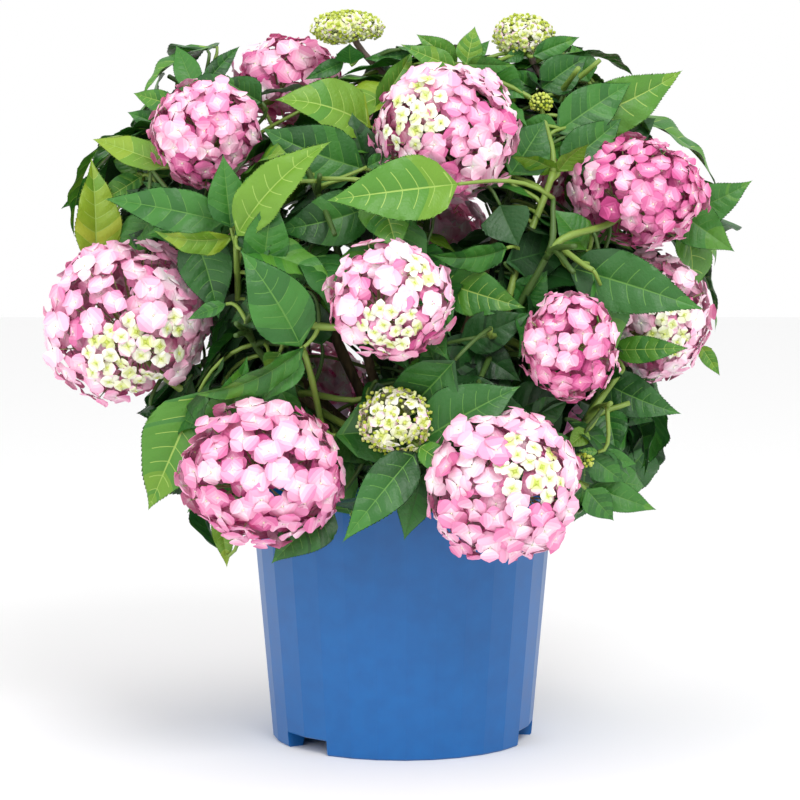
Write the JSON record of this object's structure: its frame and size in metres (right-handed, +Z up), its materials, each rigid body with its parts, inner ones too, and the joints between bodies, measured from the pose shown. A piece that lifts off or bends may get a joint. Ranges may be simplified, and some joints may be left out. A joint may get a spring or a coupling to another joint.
{
  "type": "potted bigleaf hydrangea",
  "caption": "Flowering mophead shrub in a tapered round nursery pot: a rounded crown of broad serrated leaves and pink ball-shaped flower heads on canes that rise from the soil.",
  "frame": {"origin": "on the pot's axis, at the level of the flat underside of its foot", "axes": "+Z up along the pot's axis, -Y towards the front that the picture shows, +X to that view's right"},
  "size_m": [0.6184, 0.5416, 0.6539],
  "materials": {
    "pot_plastic": "satin",
    "potting_soil": "matte",
    "stem_bark": "matte",
    "cane_bark": "matte",
    "leaf_green": "satin",
    "bloom_pink": "matte",
    "bloom_deep_pink": "matte",
    "bloom_cream": "matte"
  },
  "bodies": {
    "root": {"bloom_back_left": "bloom_pink", "bloom_back_low_left": "bloom_pink", "bloom_back_low_right": "bloom_pink", "bloom_back_middle": "bloom_pink", "bloom_back_right": "bloom_pink", "bloom_back_top": "bloom_pink", "bloom_cap_left": "bloom_cream", "bloom_cap_right": "bloom_cream", "bloom_centre": "bloom_pink", "bloom_left_large": "bloom_pink", "bloom_lower_left": "bloom_deep_pink", "bloom_lower_right": "bloom_pink", "bloom_right_centre": "bloom_deep_pink", "bloom_right_rear": "bloom_pink", "bloom_right_upper": "bloom_deep_pink", "bloom_side_left": "bloom_pink", "bloom_small_front": "bloom_cream", "bloom_top_centre": "bloom_pink", "bloom_top_left": "bloom_pink", "bloom_upper_left": "bloom_pink", "cane_back_left": "cane_bark", "cane_back_low": "cane_bark", "cane_back_right": "cane_bark", "cane_back_top": "cane_bark", "cane_far_left": "cane_bark", "cane_left_front": "cane_bark", "cane_lower_left": "cane_bark", "cane_lower_right": "cane_bark", "cane_middle": "cane_bark", "cane_right": "cane_bark", "cane_right_front": "cane_bark", "cane_top_left": "cane_bark", "cane_top_middle": "cane_bark", "cane_top_right": "cane_bark", "foliage_back_left": "leaf_green", "foliage_back_low": "leaf_green", "foliage_back_low_left": "leaf_green", "foliage_back_low_right": "leaf_green", "foliage_back_right": "leaf_green", "foliage_back_top": "leaf_green", "foliage_far_left": "leaf_green", "foliage_front_low": "leaf_green", "foliage_left_front": "leaf_green", "foliage_lower_left": "leaf_green", "foliage_lower_right": "leaf_green", "foliage_middle": "leaf_green", "foliage_right": "leaf_green", "foliage_right_front": "leaf_green", "foliage_right_low_front": "leaf_green", "foliage_top_left": "leaf_green", "foliage_top_middle": "leaf_green", "foliage_top_right": "leaf_green", "pot": "pot_plastic", "potting_soil": "potting_soil", "stem_base": "stem_bark"}
  },
  "joints": []
}
